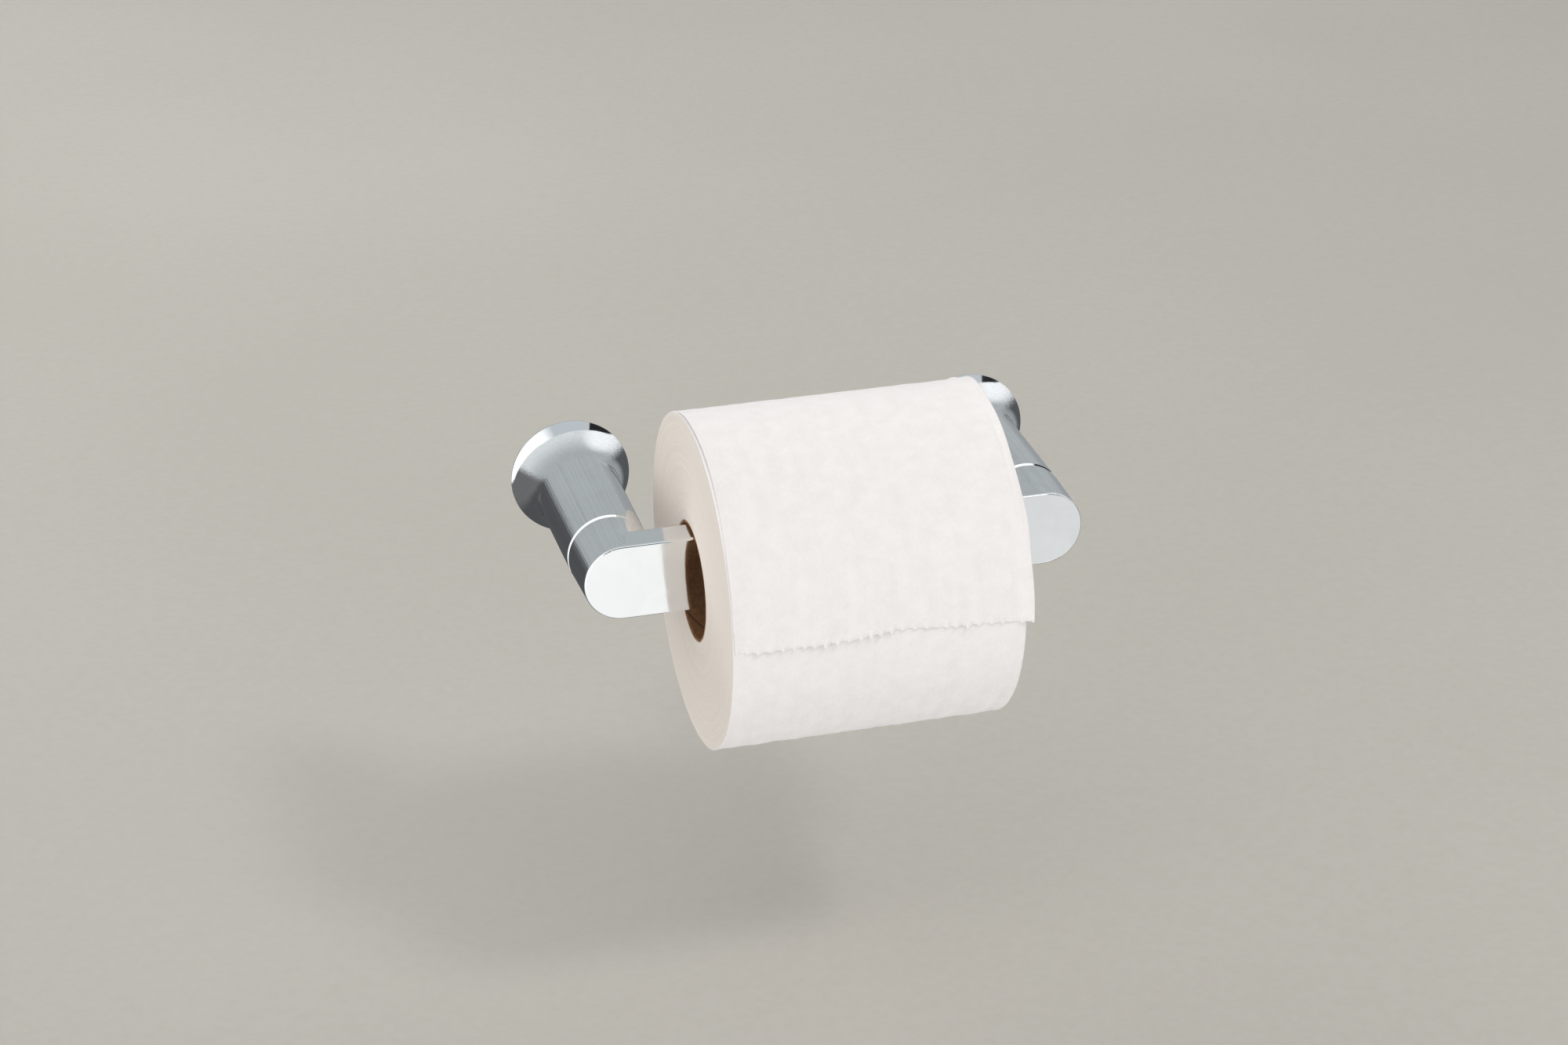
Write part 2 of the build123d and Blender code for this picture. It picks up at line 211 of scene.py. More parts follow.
def steel_graph(g):
    """Zinc-plated steel: turned, with a fine satin and slightly blotchy plating."""
    place = g.place()
    x, y, z = g.separate(place)
    turned = g.noise(g.combine(g.math("MULTIPLY", x, 0.05), y, g.math("MULTIPLY", z, 0.05)), 9000, 2)
    blotches = g.noise(place, 420, 3)
    colour = g.mix(g.spread(blotches, 0.35, 0.65), (0.52, 0.53, 0.56, 1), (0.70, 0.70, 0.69, 1))
    normal = g.bump(turned, 0.006 * MM)
    return {"Base Color": colour, "Roughness": g.spread(blotches, 0.3, 0.7, 0.20, 0.36), "Normal": normal}


def nylon_graph(g):
    """Natural nylon: milky, with faint flow marks and a moulded texture."""
    place = g.place()
    flow = g.noise(place, 160, 3, 0.5, 1.0)
    texture = g.noise(place, 3200, 2)
    colour = g.mix(g.spread(flow, 0.35, 0.65), (0.66, 0.64, 0.58, 1), (0.76, 0.745, 0.70, 1))
    normal = g.bump(texture, 0.02 * MM)
    return {"Base Color": colour, "Roughness": g.spread(flow, 0.3, 0.7, 0.42, 0.58), "Normal": normal}


def tissue_graph(g):
    """Two-ply tissue seen on its face: crepe lines across the strip, fibres, and soft dents."""
    angle, _, x = g.about_x_axis(ROLL_Y, ROLL_Z)
    along = g.math("MULTIPLY", angle, ROLL_RADIUS)
    strip = g.combine(x, along, 0.0)
    crepe_place = g.combine(g.math("MULTIPLY", x, 260), g.math("MULTIPLY", along, 1900), 0.0)
    crepe = g.noise(crepe_place, 1.0, 2, 0.6)
    fibre_place = g.combine(g.math("MULTIPLY", x, 1400), g.math("MULTIPLY", along, 700), 3.0)
    fibres = g.noise(fibre_place, 1.0, 3, 0.7, 0.8)
    dents = g.noise(strip, 160, 3, 0.5)
    band_place = g.combine(g.math("MULTIPLY", x, 150), g.math("MULTIPLY", along, 14), 5.0)
    bands = g.noise(band_place, 1.0, 3, 0.55)
    soft = g.math("ADD", g.math("MULTIPLY", dents, 0.5), g.math("MULTIPLY", fibres, 0.5))
    colour = g.mix(g.spread(soft, 0.32, 0.68), (0.855, 0.808, 0.79, 1), (0.905, 0.862, 0.846, 1))
    underneath = g.spread(angle, 0.05, -0.55)
    crinkle_place = g.combine(g.math("MULTIPLY", x, 330), g.math("MULTIPLY", along, 60), 8.0)
    crinkle = g.noise(crinkle_place, 1.0, 3, 0.6)
    normal = g.bump(dents, 0.06 * MM, g.bump(bands, 0.16 * MM))
    normal = g.bump(g.math("MULTIPLY", crinkle, underneath), 0.36 * MM, normal)
    normal = g.bump(crepe, 0.035 * MM, normal)
    normal = g.bump(fibres, 0.045 * MM, normal)
    return {"Base Color": colour, "Normal": normal}


def tissue_ends_graph(g):
    """The roll's cut ends: the edges of the wraps in a tight spiral, with fibres torn by the saw."""
    angle, distance, x = g.about_x_axis(ROLL_Y, ROLL_Z)
    turns = g.math("DIVIDE", distance, WRAP)
    turns = g.math("SUBTRACT", turns, g.math("DIVIDE", angle, 2 * pi))
    wobble = g.noise(g.combine(g.math("COSINE", angle), g.math("SINE", angle), 0.0), 2.0, 2)
    turns = g.math("ADD", turns, g.math("MULTIPLY", wobble, 1.5))
    ridge = g.math("ABSOLUTE", g.math("SINE", g.math("MULTIPLY", turns, pi)))
    group_place = g.combine(g.math("MULTIPLY", turns, 0.55), g.math("MULTIPLY", angle, 0.25), 0.0)
    groups = g.noise(group_place, 1.0, 3, 0.6)
    saw_place = g.combine(x, g.math("MULTIPLY", angle, 4.0), g.math("MULTIPLY", distance, 900))
    saw = g.noise(saw_place, 1.0, 3, 0.6)
    fibres = g.noise(g.place(), 1500, 3, 0.7)
    tone = g.math("ADD", g.math("MULTIPLY", groups, 0.65), g.math("MULTIPLY", fibres, 0.35))
    colour = g.mix(g.spread(tone, 0.32, 0.68), (0.83, 0.745, 0.665, 1), (0.89, 0.81, 0.735, 1))
    normal = g.bump(groups, 0.04 * MM)
    normal = g.bump(ridge, 0.05 * MM, normal)
    normal = g.bump(g.math("ADD", saw, fibres), 0.05 * MM, normal)
    return {"Base Color": colour, "Normal": normal}


def cardboard_graph(g):
    """Brown spiral-wound board: a seam every 60 mm, fibres along the strip."""
    angle, _, x = g.about_x_axis(ROLL_Y, ROLL_Z)
    around = g.math("DIVIDE", angle, 2 * pi)
    strip = g.math("FRACT", g.math("SUBTRACT", g.math("DIVIDE", x, SEAM_PITCH), around))
    seam = g.spread(g.math("ABSOLUTE", g.math("SUBTRACT", strip, 0.5)), 0.0, 0.012)
    place = g.place()
    fibres = g.noise(place, 900, 4, 0.7, 0.6)
    specks = g.noise(place, 260, 3, 0.6)
    tone = g.math("ADD", g.math("MULTIPLY", fibres, 0.5), g.math("MULTIPLY", specks, 0.5))
    kraft = g.mix(g.spread(tone, 0.33, 0.67), (0.20, 0.095, 0.045, 1), (0.33, 0.165, 0.08, 1))
    colour = g.mix(seam, (0.13, 0.07, 0.04, 1), kraft)
    normal = g.bump(fibres, 0.05 * MM, g.bump(seam, 0.10 * MM))
    return {"Base Color": colour, "Normal": normal}


chrome = new_material("chrome_plate", chrome_graph, Metallic=1.0)
post_chrome = new_material("chrome_plate_post", wall_side_chrome_graph, Metallic=1.0)
zinc = new_material("cast_zinc", zinc_graph, Metallic=1.0)
steel = new_material("plated_steel", steel_graph, Metallic=1.0)
nylon = new_material("natural_nylon", nylon_graph, Subsurface_Weight=0.1, Subsurface_Scale=0.001)
tissue = new_material(
    "tissue_face", tissue_graph, Roughness=0.95, Specular_IOR_Level=0.15, Sheen_Weight=0.12
)
tissue_ends = new_material("tissue_ends", tissue_ends_graph, Roughness=0.97, Specular_IOR_Level=0.1)
cardboard = new_material("core_board", cardboard_graph, Roughness=0.92, Specular_IOR_Level=0.1)

CAD_MATERIALS = {
    "left_post": post_chrome,
    "right_post": post_chrome,
    "roll_bar": chrome,
    "left_wall_bracket": zinc,
    "right_wall_bracket": zinc,
    "set_screws": steel,
    "spring_washer": steel,
    "pivot_washer": steel,
    "pivot_bolt": steel,
    "stop_pin": steel,
    "rest_pin": steel,
    "pivot_bush": nylon,
    "thrust_washer": nylon,
    "glide_ring": nylon,
    "slot_lining": nylon,
    "bar_back_cover": nylon,
}
for name, material in CAD_MATERIALS.items():
    nodes[name].data.materials.clear()
    nodes[name].data.materials.append(material)


# ---- Mesh helpers -----------------------------------------------------------
def add_piece(name, points, faces, materials, face_material=None, smooth=True):
    """A mesh object from a list of points and faces."""
    mesh = bpy.data.meshes.new(name)
    mesh.from_pydata([tuple(p) for p in points], [], faces)
    for material in materials:
        mesh.materials.append(material)
    if face_material is not None:
        mesh.polygons.foreach_set("material_index", face_material)
    mesh.polygons.foreach_set("use_smooth", [smooth] * len(faces))
    mesh.update()
    piece = bpy.data.objects.new(name, mesh)
    bpy.context.scene.collection.objects.link(piece)
    return piece


def grid_faces(rows, columns, wrap_rows=False, wrap_columns=False, start=0):
    """Quads of a grid of points numbered row by row."""
    faces = []
    for i in range(rows if wrap_rows else rows - 1):
        below = (i + 1) % rows
        for j in range(columns if wrap_columns else columns - 1):
            right = (j + 1) % columns
            faces.append(
                (
                    start + i * columns + j,
                    start + i * columns + right,
                    start + below * columns + right,
                    start + below * columns + j,
                )
            )
    return faces


def ease(t):
    """Smooth step from 0 at t = 0 to 1 at t = 1."""
    t = np.clip(t, 0.0, 1.0)
    return t * t * (3 - 2 * t)


def bell(t, middle, width):
    """A smooth hump of height 1 at the middle."""
    return np.exp(-(((t - middle) / width) ** 2))


class Waves:
    """Repeatable smooth noise in two directions: a sum of waves of random direction and phase."""

    def __init__(self, seed, wavelength, aspect=1.0, count=14):
        draw = np.random.default_rng(seed)
        self.ku = 2 * pi / wavelength * draw.uniform(0.5, 1.6, count) * draw.choice((-1, 1), count)
        self.kv = 2 * pi / wavelength * draw.uniform(0.5, 1.6, count) * aspect
        self.phase = draw.uniform(0, 2 * pi, count)

    def __call__(self, u, v):
        """Noise of unit strength at u, v, both in metres."""
        total = 0.0
        for ku, kv, phase in zip(self.ku, self.kv, self.phase):
            total = total + np.sin(ku * u + kv * v + phase)
        return total / sqrt(len(self.phase) / 2)


def on_roll(x, angle, distance):
    """Points at x, an angle from the front over the top, and a distance from the roll's axis."""
    y = ROLL_Y - distance * np.cos(angle)
    z = ROLL_Z + distance * np.sin(angle)
    return np.stack(np.broadcast_arrays(x, y, z), -1)


# ---- The roll ---------------------------------------------------------------
WIND_GAP = 0.05 * MM         # between the core and the paper wound on it
RIM = 0.35 * MM              # soft edge where the paper's face turns into an end
FLARE = 0.85 * MM            # how far the outer wraps stand up along the right end, over the top
FLARE_WIDTH = 2.6 * MM
CREASE = 0.30 * MM           # depth of the soft crease just inside that curled border
CREASE_PLACE = ROLL_RIGHT - 0.4 * MM
CREASE_WIDTH = 0.7 * MM


def flare(x, degrees_up):
    """Lift of the outer wraps where their right border curls up."""
    near_end = np.clip((x - (ROLL_RIGHT - FLARE_WIDTH)) / FLARE_WIDTH, 0.0, 1.6)
    over_top = ease((degrees_up - 52) / 45) * ease((165 - degrees_up) / 40)
    in_front = ease((degrees_up - 25) / 35) * ease((165 - degrees_up) / 40)
    crease = CREASE * bell(x, CREASE_PLACE, CREASE_WIDTH)
    return FLARE * near_end**2 * over_top - crease * in_front


def round_noise(angle, seed, lowest, highest):
    """Noise round the roll that closes on itself."""
    draw = np.random.default_rng(seed)
    total = 0.0
    for k in range(lowest, highest):
        total = total + np.sin(k * angle + draw.uniform(0, 2 * pi)) * draw.uniform(0.4, 1.0) / sqrt(k)
    return total


def make_wound_paper():
    """The wound tissue: softly rounded rims, slightly uneven wraps at the ends, faint bands on the face."""
    turns = 264
    angle = np.arange(turns) / turns * 2 * pi
    inner = CORE_RADIUS + WIND_GAP
    steps = 74
    radii = inner + (ROLL_RADIUS - RIM - inner) * np.arange(steps) / (steps - 1)
    draw = np.random.default_rng(11)
    profile = []

    def end_rows(face_x, outwards, seed):
        """Rings of one end, from the bore to the rim: stepped wraps, slightly wavy and dished."""
        rows = []
        wander = np.cumsum(draw.normal(0, 1, steps))
        wander = (wander - np.linspace(wander[0], wander[-1], steps)) / 6
        for i, radius in enumerate(radii):
            share = i / (steps - 1)
            step_out = draw.normal(0, 0.012) + 0.025 * wander[i]
            wave = 0.05 * round_noise(angle + radius * 90, seed, 1, 5) * share
            dish = -0.25 * sin(pi * share) ** 2
            x = face_x + outwards * (step_out + wave + dish) * MM
            rows.append((x, np.full(turns, radius)))
        return rows

    def rim_rows(face_x, outwards):
        """Rings of one rim's quarter round, from the end to the face."""
        rows = []
        for quarter in (0.2, 0.4, 0.6, 0.8, 1.0):
            a = quarter * pi / 2
            x = face_x - outwards * RIM * (1 - cos(a))
            radius = ROLL_RADIUS - RIM * (1 - sin(a))
            rows.append((np.full(turns, x), np.full(turns, radius)))
        return rows

    profile += end_rows(ROLL_LEFT, -1, 21)
    profile += rim_rows(ROLL_LEFT, -1)
    columns = 92
    inside_left = ROLL_LEFT + RIM
    inside_right = ROLL_RIGHT - RIM
    for i in range(1, columns):
        x = inside_left + (inside_right - inside_left) * i / columns
        profile.append((np.full(turns, x), np.full(turns, ROLL_RADIUS)))
    profile += rim_rows(ROLL_RIGHT, 1)[::-1]
    profile += end_rows(ROLL_RIGHT, 1, 22)[::-1]
    bore_rows = 8
    for i in range(1, bore_rows):
        x = ROLL_RIGHT - (ROLL_RIGHT - ROLL_LEFT) * i / bore_rows
        profile.append((np.full(turns, x), np.full(turns, inner)))

    bands = Waves(31, 11 * MM, 0.06)
    dents = Waves(32, 24 * MM, 1.0)
    ruffle = Waves(33, 7 * MM, 0.25)
    # Once round, bands and dents blend into their own values one turn back, so that they meet.
    rings = []
    for x, radius in profile:
        face = ease((radius - 0.55 * ROLL_RADIUS) / (0.45 * ROLL_RADIUS))
        around = angle * ROLL_RADIUS
        before = around - 2 * pi * ROLL_RADIUS
        closing = ease(angle / (2 * pi))
        below = ease(-np.sin(angle))
        swell = bands(x, around) * (1 - closing) + bands(x, before) * closing
        swell = swell * (0.05 + 0.05 * below) + ruffle(x, around) * below * 0.08
        swell = swell + (dents(x, around) * (1 - closing) + dents(x, before) * closing) * 0.03
        low = 0.10 * round_noise(angle, 41, 1, 4)
        height = (swell + low - 0.12) * MM + flare(x, np.degrees(angle))
        rings.append(on_roll(x, angle, radius + face * height))
    points = np.concatenate(rings)
    faces = [tuple(reversed(face)) for face in grid_faces(len(profile), turns, True, True)]
    first_face = steps
    last_face = len(profile) - (bore_rows - 1) - steps - 1
    part = []
    for i in range(len(profile)):
        on_face = first_face <= i < last_face
        part += [0 if on_face else 1] * turns
    piece = add_piece("wound_tissue", points, faces, [tissue, tissue_ends], part)
    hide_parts("paper_roll")
    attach(piece, "roll")


SHEET_PLY = 0.28 * MM
SHEET_BACK = radians(118)    # where the sheet runs into the wound paper, behind the top
SHEET_FRONT = radians(1.2)   # its torn edge, in front
TOOTH = 3.85 * MM            # pitch of the perforation


def make_loose_sheet():
    """The end of the tissue: over the top of the roll, torn off along a perforation in front."""
    columns = 380
    across = np.linspace(0, 1, columns)
    length = (SHEET_BACK - SHEET_FRONT) * ROLL_RADIUS
    fine_share = 0.045       # the last of the length, next to the torn edge, has finer rows
    back_steps = np.linspace(0, 1, 84)[:-1] * (1 - fine_share)
    front_steps = np.linspace(1 - fine_share, 1, 26)
    down = np.concatenate([back_steps, front_steps])
    draw = np.random.default_rng(5)

    # The torn edge: a slow wave, the perforation's teeth, and loose fibres.
    width = sheet_high.x - sheet_low.x
    place = across * width
    slow = 0.4 - 0.65 * bell(across, 0.0, 0.07) - 1.7 * bell(across, 0.55, 0.13)
    slow = slow + 1.35 * ease((across - 0.7) / 0.35)
    count_up = place / TOOTH + 0.12 * np.sin(place * 260)
    within = count_up % 1.0
    tab = ease(within / 0.12) * (1 - ease((within - 0.12) / 0.55))
    strength = draw.uniform(0.40, 1.0, int(width / TOOTH) + 3)[np.floor(count_up).astype(int) + 1]
    loose = ease((across + 0.02) / 0.12) * ease((0.62 - across) / 0.12) + bell(across, 0.76, 0.05)
    strength = strength * (0.35 + 0.65 * loose)
    teeth = tab * strength * 1.25
    hair = np.convolve(draw.normal(0, 1, columns + 2), np.ones(3) / 3, "valid") * 0.16
    torn = (slow + teeth + hair) * MM
    torn_turn = torn / ROLL_RADIUS

    t = down[:, None]
    angle = SHEET_BACK + (SHEET_FRONT - torn_turn[None, :] - SHEET_BACK) * t
    degrees_up = np.degrees(angle)

    # Side edges: nearly flush on the left, standing past the roll's end on the right.
    inset = 0.3 + 0.8 * bell(degrees_up, 62, 28) + 0.3 * ease((12 - degrees_up) / 12)
    left_edge = ROLL_LEFT + inset * MM
    wave = 0.10 * np.sin(degrees_up * 0.21) + 0.35 * bell(degrees_up, 31, 7)
    draw_in = 0.10 + 1.0 * ease((degrees_up - 38) / 62) + 1.2 * ease((degrees_up - 100) / 18)
    right_edge = sheet_high.x - (draw_in - wave) * MM
    x = left_edge + (right_edge - left_edge) * across[None, :]

    # Height over the roll: it lies on the wraps behind, and lifts a little towards the torn edge.
    settle = ease((118 - degrees_up) / 26)
    ripple = Waves(51, 26 * MM, 0.5)
    bands = Waves(52, 9 * MM, 0.05)
    run = t * length + 0 * x
    lift = 0.16 + 0.10 * ripple(x, run) + 0.05 * bands(x, run)
    lift = lift - 0.14 * ease((16 - degrees_up) / 16) * (0.7 + 0.3 * np.sin(x * 105 + 0.6))
    lift = lift + 0.30 * ease((t - 0.93) / 0.07) * loose[None, :]
    lift = lift + 1.10 * ease((t - 0.970) / 0.030) * (tab * strength)[None, :]
    past_end = ease((x - (ROLL_RIGHT - 4 * MM)) / (6 * MM))
    lift = lift + past_end * (0.30 + 0.75 * ease((24 - degrees_up) / 24))
    curl = bell(across[None, :], 0.0, 0.012) * 0.22 + flare(x, degrees_up) / MM
    bite = ease((t - (1 - 0.02)) / 0.02) * hair[None, :] * 0.4
    distance = ROLL_RADIUS + (-0.48 + settle * (0.52 + lift + curl + bite)) * MM
    ply = SHEET_PLY * (0.35 + 0.65 * settle)
    thin = 1 - 0.75 * ease((t - 0.985) / 0.015)

    outside = on_roll(x, angle, distance + ply * thin)
    inside = on_roll(x, angle, distance)
    rows = len(down)
    count = rows * columns
    points = np.concatenate([outside.reshape(-1, 3), inside.reshape(-1, 3)])
    faces = [tuple(reversed(face)) for face in grid_faces(rows, columns)]
    faces += [tuple(count + k for k in reversed(face)) for face in faces[:]]
    loop = list(range(columns))
    loop += [i * columns + columns - 1 for i in range(1, rows)]
    loop += [(rows - 1) * columns + j for j in range(columns - 2, -1, -1)]
    loop += [i * columns for i in range(rows - 2, 0, -1)]
    for a, b in zip(loop, loop[1:] + loop[:1]):
        faces.append((a, b, b + count, a + count))
    piece = add_piece("tissue_end", points, faces, [tissue])
    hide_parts("loose_sheet")
    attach(piece, "roll")


def make_core():
    """The cardboard tube, with its spiral seam and slightly fuzzy cut ends."""
    turns = 160
    angle = np.arange(turns) / turns * 2 * pi
    inner = CORE_RADIUS - CORE_WALL
    columns = 120
    soft = 0.25 * MM
    draw = np.random.default_rng(61)

    def seam(x):
        """Depth of the spiral groove at x all round."""
        strip = (x / SEAM_PITCH - angle / (2 * pi)) % 1.0
        return -SEAM_DEPTH * bell(strip * SEAM_PITCH, 0.5 * SEAM_PITCH, SEAM_WIDTH)

    rings = []
    for i in range(columns + 1):
        x = core_low.x + soft + (core_high.x - core_low.x - 2 * soft) * i / columns
        dents = 0.04 * round_noise(angle + x * 30, 62, 2, 6) * MM
        rings.append(on_roll(np.full(turns, x), angle, inner - seam(x) + dents))
    for face_x, outwards in ((core_high.x, 1), (core_low.x, -1)):
        fuzz = draw.normal(0, 0.03, turns) * MM
        ring_pair = [(inner + soft, face_x), (CORE_RADIUS - soft, face_x)]
        if outwards < 0:
            ring_pair.reverse()
        for radius, x in ring_pair:
            rings.append(on_roll(x + outwards * fuzz, angle, np.full(turns, radius)))
        if outwards > 0:
            for x in (core_high.x - soft, core_low.x + soft):
                rings.append(on_roll(np.full(turns, x), angle, np.full(turns, CORE_RADIUS)))
    points = np.concatenate(rings)
    faces = grid_faces(len(rings), turns, True, True)
    piece = add_piece("cardboard_core", points, faces, [cardboard])
    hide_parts("core_tube")
    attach(piece, "core")


make_wound_paper()
make_loose_sheet()
make_core()


# ---- Wall screws -------------------------------------------------------------
SHANK_RADIUS = 2.0 * MM
THREAD_ROOT = 1.45 * MM
THREAD_PITCH = 1.6 * MM
NECK_RADIUS = 2.2 * MM
HEAD_RADIUS = 3.4 * MM
HEAD_HEIGHT = 2.3 * MM
HEAD_SIDE = 0.6 * MM         # straight side of the head, under its dome
HEAD_BEVEL = 0.15 * MM
PLATE = 2.5 * MM             # the bracket's plate, under the heads
TIP_START = 16.0 * MM
CROSS_LONG = 3.8 * MM        # the cross recess
CROSS_SHORT = 0.9 * MM
CROSS_DEPTH = 1.5 * MM


def screw_rings(turns):
    """(radius, y) rings of one screw, from its tip to the middle of its head."""
    angle = np.arange(turns) / turns * 2 * pi
    rings = []
    steps = 190
    for i in range(steps + 1):
        y = screws_high.y - screws_high.y * i / steps
        phase = (y / THREAD_PITCH + angle / (2 * pi)) % 1.0
        crest = np.clip(1.25 - np.abs(phase - 0.5) * 3.4, 0, 1)
        body = min(1.0, 0.02 + (screws_high.y - y) / (screws_high.y - TIP_START))
        fade = ease(y / (1.2 * MM))
        radius = (THREAD_ROOT + (SHANK_RADIUS - THREAD_ROOT) * crest * fade) * body
        rings.append((radius, y))
    rings.append((np.full(turns, NECK_RADIUS), -0.2 * MM))
    rings.append((np.full(turns, NECK_RADIUS), -PLATE))
    rings.append((np.full(turns, HEAD_RADIUS - HEAD_BEVEL), -PLATE))
    rings.append((np.full(turns, HEAD_RADIUS), -PLATE - HEAD_BEVEL))
    rings.append((np.full(turns, HEAD_RADIUS), -PLATE - HEAD_SIDE))
    dome = HEAD_HEIGHT - HEAD_SIDE
    for i in range(1, 10):
        a = i / 10 * pi / 2
        rings.append((np.full(turns, HEAD_RADIUS * cos(a)), -PLATE - HEAD_SIDE - dome * sin(a)))
    return rings


def merge_slivers(mesh):
    """Joins the nearly coincident points that the cut leaves."""
    clean = bmesh.new()
    clean.from_mesh(mesh)
    bmesh.ops.remove_doubles(clean, verts=clean.verts, dist=0.002 * MM)
    bmesh.ops.dissolve_degenerate(clean, edges=clean.edges, dist=0.0005 * MM)
    clean.to_mesh(mesh)
    clean.free()


def make_wall_screws():
    """Four pan-head screws with real threads and cross recesses."""
    turns = 40
    angle = np.arange(turns) / turns * 2 * pi
    rings = screw_rings(turns)
    points, faces = [], []
    half_pitch = (screws_high.z - screws_low.z) / 2 - HEAD_RADIUS
    places = [(side * abs(POST_X), up * half_pitch) for side in (-1, 1) for up in (-1, 1)]
    for place_x, place_z in places:
        start = len(points)
        for radius, y in rings:
            xs = place_x + radius * np.cos(angle)
            zs = place_z + radius * np.sin(angle)
            points += [tuple(p) for p in np.stack([xs, np.full(turns, y), zs], -1)]
        faces += grid_faces(len(rings), turns, False, True, start)
        points.append((place_x, screws_high.y, place_z))
        points.append((place_x, -PLATE - HEAD_HEIGHT, place_z))
        last = start + (len(rings) - 1) * turns
        for j in range(turns):
            following = (j + 1) % turns
            faces.append((start + following, start + j, len(points) - 2))
            faces.append((last + j, last + following, len(points) - 1))
    piece = add_piece("wall_screw_set", points, faces, [steel])

    cutter_points, cutter_faces = [], []
    box = ((0, 1, 2, 3), (7, 6, 5, 4), (0, 4, 5, 1), (1, 5, 6, 2), (2, 6, 7, 3), (3, 7, 4, 0))
    for place_x, place_z in places:
        for long_x, long_z in ((CROSS_LONG, CROSS_SHORT), (CROSS_SHORT, CROSS_LONG)):
            start = len(cutter_points)
            floor_y = -PLATE - HEAD_HEIGHT + CROSS_DEPTH
            for y, share in ((floor_y, 0.55), (floor_y - 4 * MM, 1.6)):
                for sx, sz in ((-1, -1), (1, -1), (1, 1), (-1, 1)):
                    along_x = long_x * (share if long_x > long_z else 1.0)
                    along_z = long_z * (share if long_z > long_x else 1.0)
                    cutter_points.append((place_x + sx * along_x / 2, y, place_z + sz * along_z / 2))
            cutter_faces += [tuple(start + k for k in face) for face in box]
    cutter = add_piece("recess_cutter", cutter_points, cutter_faces, [steel], smooth=False)
    cut = piece.modifiers.new("recess", "BOOLEAN")
    cut.operation = "DIFFERENCE"
    cut.solver = "EXACT"
    cut.use_self = True
    cut.object = cutter
    evaluated = piece.evaluated_get(bpy.context.evaluated_depsgraph_get())
    done = bpy.data.meshes.new_from_object(evaluated)
    piece.modifiers.clear()
    merge_slivers(done)
    piece.data = done
    bpy.data.objects.remove(cutter)
    piece.data.set_sharp_from_angle(angle=radians(50))
    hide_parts("wall_screws")
    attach(piece, "wall_side")


make_wall_screws()


# ---- Floor, light and surroundings -------------------------------------------
FLOOR_Z = -0.160
FLOOR_REACH = 9.0
FAR_FLOOR = (0.392, 0.381, 0.352, 1)    # the floor's colour at the horizon
BACKDROP = (0.56, 0.55, 0.52, 1)        # what the camera sees above it


def floor_graph(g):
    """Plain pale paint with the faintest grain."""
    place = g.place()
    grain = g.noise(place, 260, 3)
    clouds = g.noise(place, 2.2, 2)
    tone = g.math("ADD", g.math("MULTIPLY", grain, 0.4), g.math("MULTIPLY", clouds, 0.6))
    colour = g.mix(g.spread(tone, 0.3, 0.7), (0.495, 0.465, 0.42, 1), (0.53, 0.50, 0.455, 1))
    return {"Base Color": colour, "Normal": g.bump(grain, 0.1 * MM)}


def make_floor():
    """A plain floor that only the camera sees, so that it colours neither the paper nor the chrome."""
    signs = ((-1, -1), (1, -1), (1, 1), (-1, 1))
    corners = [(side * FLOOR_REACH, deep * FLOOR_REACH, FLOOR_Z) for side, deep in signs]
    material = new_material("pale_floor", floor_graph, Roughness=0.9, Specular_IOR_Level=0.1)
    floor = add_piece("floor", corners, [(0, 1, 2, 3)], [material])
    floor.visible_glossy = False
    floor.visible_diffuse = False
    floor.visible_shadow = False


def area_light(name, place, target, size, power, colour):
    """A square light that only lights: the studio around the holder is what its chrome reflects."""
    data = bpy.data.lights.new(name, "AREA")
    data.shape = "SQUARE"
    data.size = size
    data.energy = power
    data.color = colour
    light = bpy.data.objects.new(name, data)
    light.location = place
    towards = Vector(target) - Vector(place)
    light.rotation_euler = towards.to_track_quat("-Z", "Y").to_euler()
    light.visible_glossy = False
    bpy.context.scene.collection.objects.link(light)


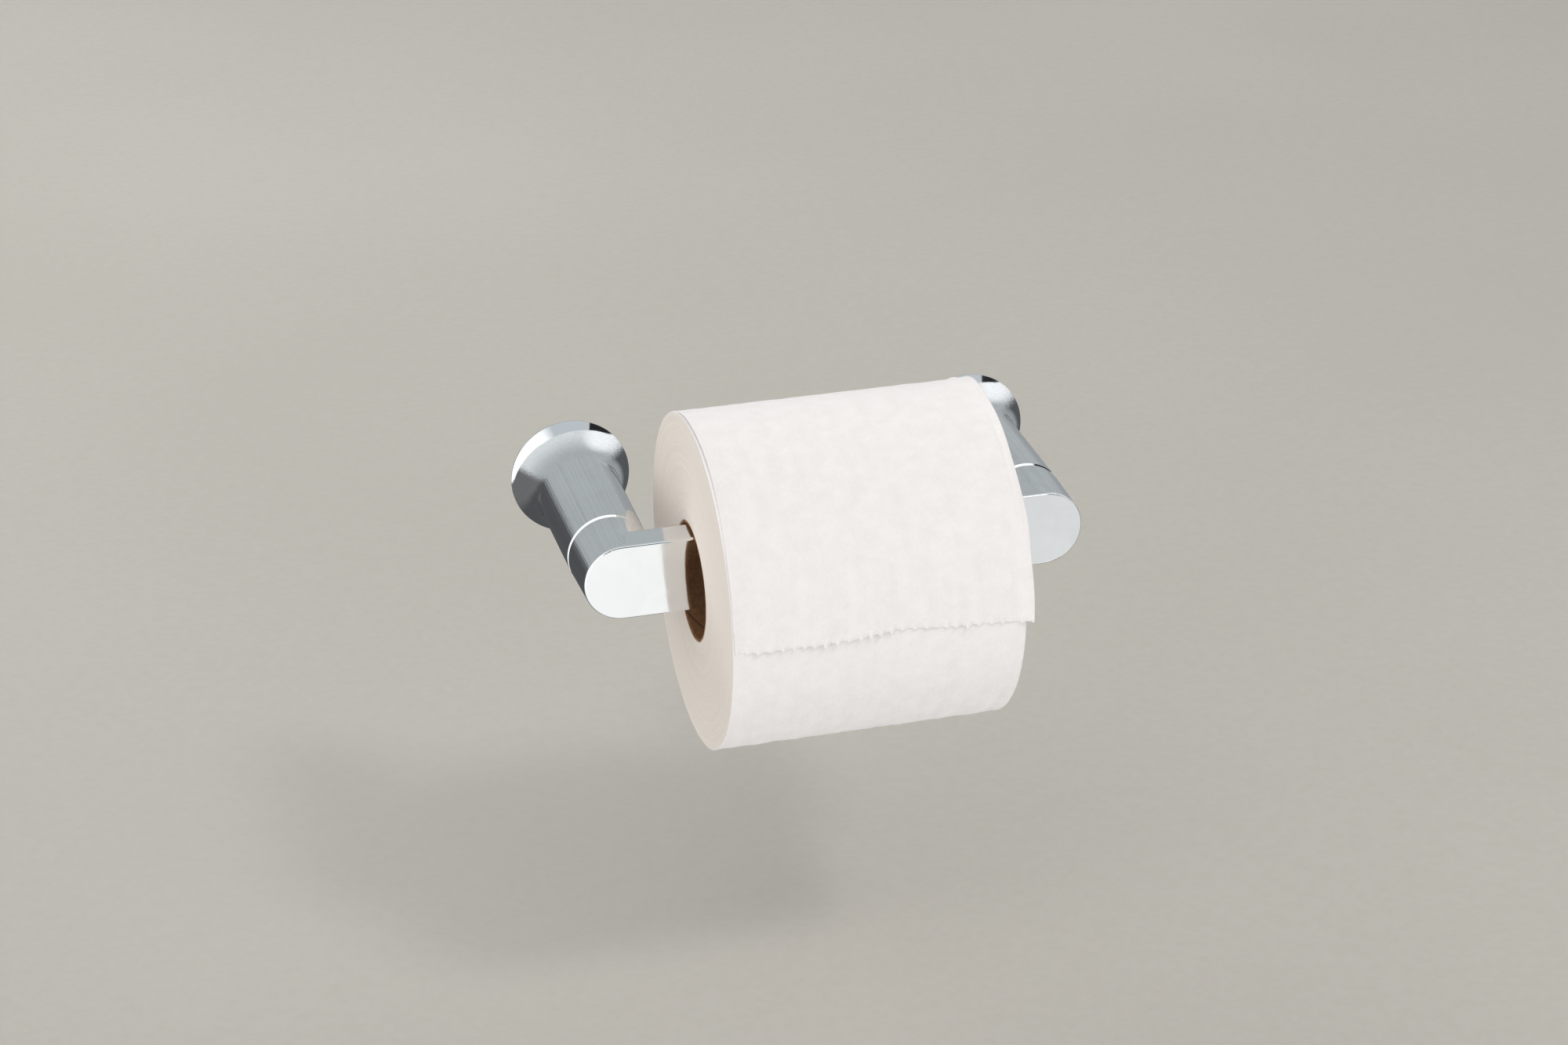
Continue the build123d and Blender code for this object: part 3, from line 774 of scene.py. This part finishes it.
def make_world():
    """A plain studio. Behind the holder, as a wall would be: pale above its height, and dark below with a
    painted shadow of the holder on it.
    In front: a white softbox on the left, white light from the front, a dark ceiling with a white strip,
    and a black flag on the right."""
    world = bpy.data.worlds.new("studio")
    bpy.context.scene.world = world
    world.use_nodes = True
    g = Graph(world.node_tree)
    way = g.node("ShaderNodeTexCoord").outputs["Generated"]
    x, y, z = g.separate(way)

    def towards(direction):
        inputs = {0: way, 1: Vector(direction).normalized()}
        return g.node("ShaderNodeVectorMath", inputs, operation="DOT_PRODUCT").outputs["Value"]

    def patch(below, direction, inner, outer, colour):
        """A soft round patch of light or shade, full inside the inner angle and gone at the outer."""
        share = g.spread(towards(direction), cos(radians(outer)), cos(radians(inner)))
        return g.mix(share, below, (*colour, 1))

    # Behind: the wall's lit top, the holder's painted shadow on the wall below, the shadow's ragged border
    # between them, and a mottle over both.
    texture = g.noise(way, 38, 4, 0.65, 0.6)
    mottle = g.spread(texture, 0.3, 0.7, 0.87, 1.13)
    wall_top = g.mix(g.spread(y, 0.0, 0.8), (0.80, 0.83, 0.83, 1), (0.455, 0.485, 0.49, 1))
    wall_top = patch(wall_top, (0.82, 0.22, 0.53), 4, 33, (1.1, 1.11, 1.12))
    # Painted shadow: the holder's shadow cast on the wall, darkest in the middle, with a lighter patch on
    # the right where the shadow thins.
    wall_painted_shadow = g.mix(g.spread(x, -0.70, -0.45), (0.165, 0.167, 0.168, 1), (0.085, 0.088, 0.092, 1))
    wall_painted_shadow = g.mix(g.spread(x, 0.05, 0.60), wall_painted_shadow, (0.10, 0.105, 0.11, 1))
    wall_painted_shadow = patch(wall_painted_shadow, (0.52, 0.83, -0.18), 6, 27, (0.34, 0.36, 0.375))
    ragged = g.math("ADD", z, g.math("MULTIPLY", g.math("SUBTRACT", texture, 0.5), 0.35))
    wall = g.mix(g.spread(ragged, -0.13, 0.11), wall_painted_shadow, wall_top)
    inputs = {0: 1.0, 6: wall, 7: g.combine(mottle, mottle, mottle)}
    wall = g.node("ShaderNodeMix", inputs, data_type="RGBA", blend_type="MULTIPLY").outputs[2]

    # In front: the room below and above, then the ceiling, the strips, the softbox and the flag.
    room_foot = g.mix(g.spread(x, 0.13, 0.33), (1.15, 1.155, 1.13, 1), (0.81, 0.815, 0.81, 1))
    room_foot = g.mix(g.spread(z, -0.55, -0.70), room_foot, (0.98, 0.98, 0.95, 1))
    room = g.mix(g.spread(z, -0.25, 0.35), room_foot, (0.60, 0.64, 0.665, 1))
    ceiling = g.math("MULTIPLY", g.spread(y, -0.50, -0.62), g.spread(z, 0.0, 0.5))
    room = g.mix(ceiling, room, (0.14, 0.15, 0.155, 1))
    overhead = g.spread(y, -0.58, -0.50)
    over_right = g.math("MULTIPLY", g.spread(x, 0.23, 0.27), g.spread(x, 0.40, 0.36))
    over_right = g.math("MULTIPLY", over_right, g.spread(y, -0.93, -0.88))
    strip = g.math("MULTIPLY", g.spread(y, -0.30, -0.36), g.math("MAXIMUM", overhead, over_right))
    strip = g.math("MULTIPLY", strip, g.spread(z, 0.15, 0.35))
    room = g.mix(strip, room, (1.5, 1.5, 1.49, 1))
    softbox = g.math("MULTIPLY", g.spread(x, -0.22, -0.56), g.spread(z, -0.55, -0.40))
    room = g.mix(softbox, room, (1.28, 1.29, 1.30, 1))
    flag = g.math("MULTIPLY", g.spread(x, 0.61, 0.64), g.spread(y, -0.34, -0.30))
    flag = g.math("MULTIPLY", flag, g.spread(z, 0.18, 0.26))
    room = g.mix(flag, room, (0.022, 0.023, 0.025, 1))

    # The camera itself sees only a plain backdrop.
    studio = g.mix(g.spread(y, -0.012, 0.012), room, wall)
    seen = g.node("ShaderNodeLightPath").outputs["Is Camera Ray"]
    backdrop = g.mix(g.spread(z, -0.02, 0.30), FAR_FLOOR, BACKDROP)
    studio = g.mix(seen, studio, backdrop)
    light = g.node("ShaderNodeBackground", {"Color": studio, "Strength": 1.0})
    g.node("ShaderNodeOutputWorld", {"Surface": light.outputs[0]})


make_floor()
make_world()
area_light("key", (0.60, -0.72, 1.15), (0, -0.05, 0), size=0.26, power=3.9, colour=(1.0, 0.985, 0.96))
area_light("back_fill", (-0.7, 1.1, 0.9), (0, 0, 0), size=0.9, power=6, colour=(0.98, 0.99, 1.0))
bpy.context.scene.view_settings.view_transform = "Standard"
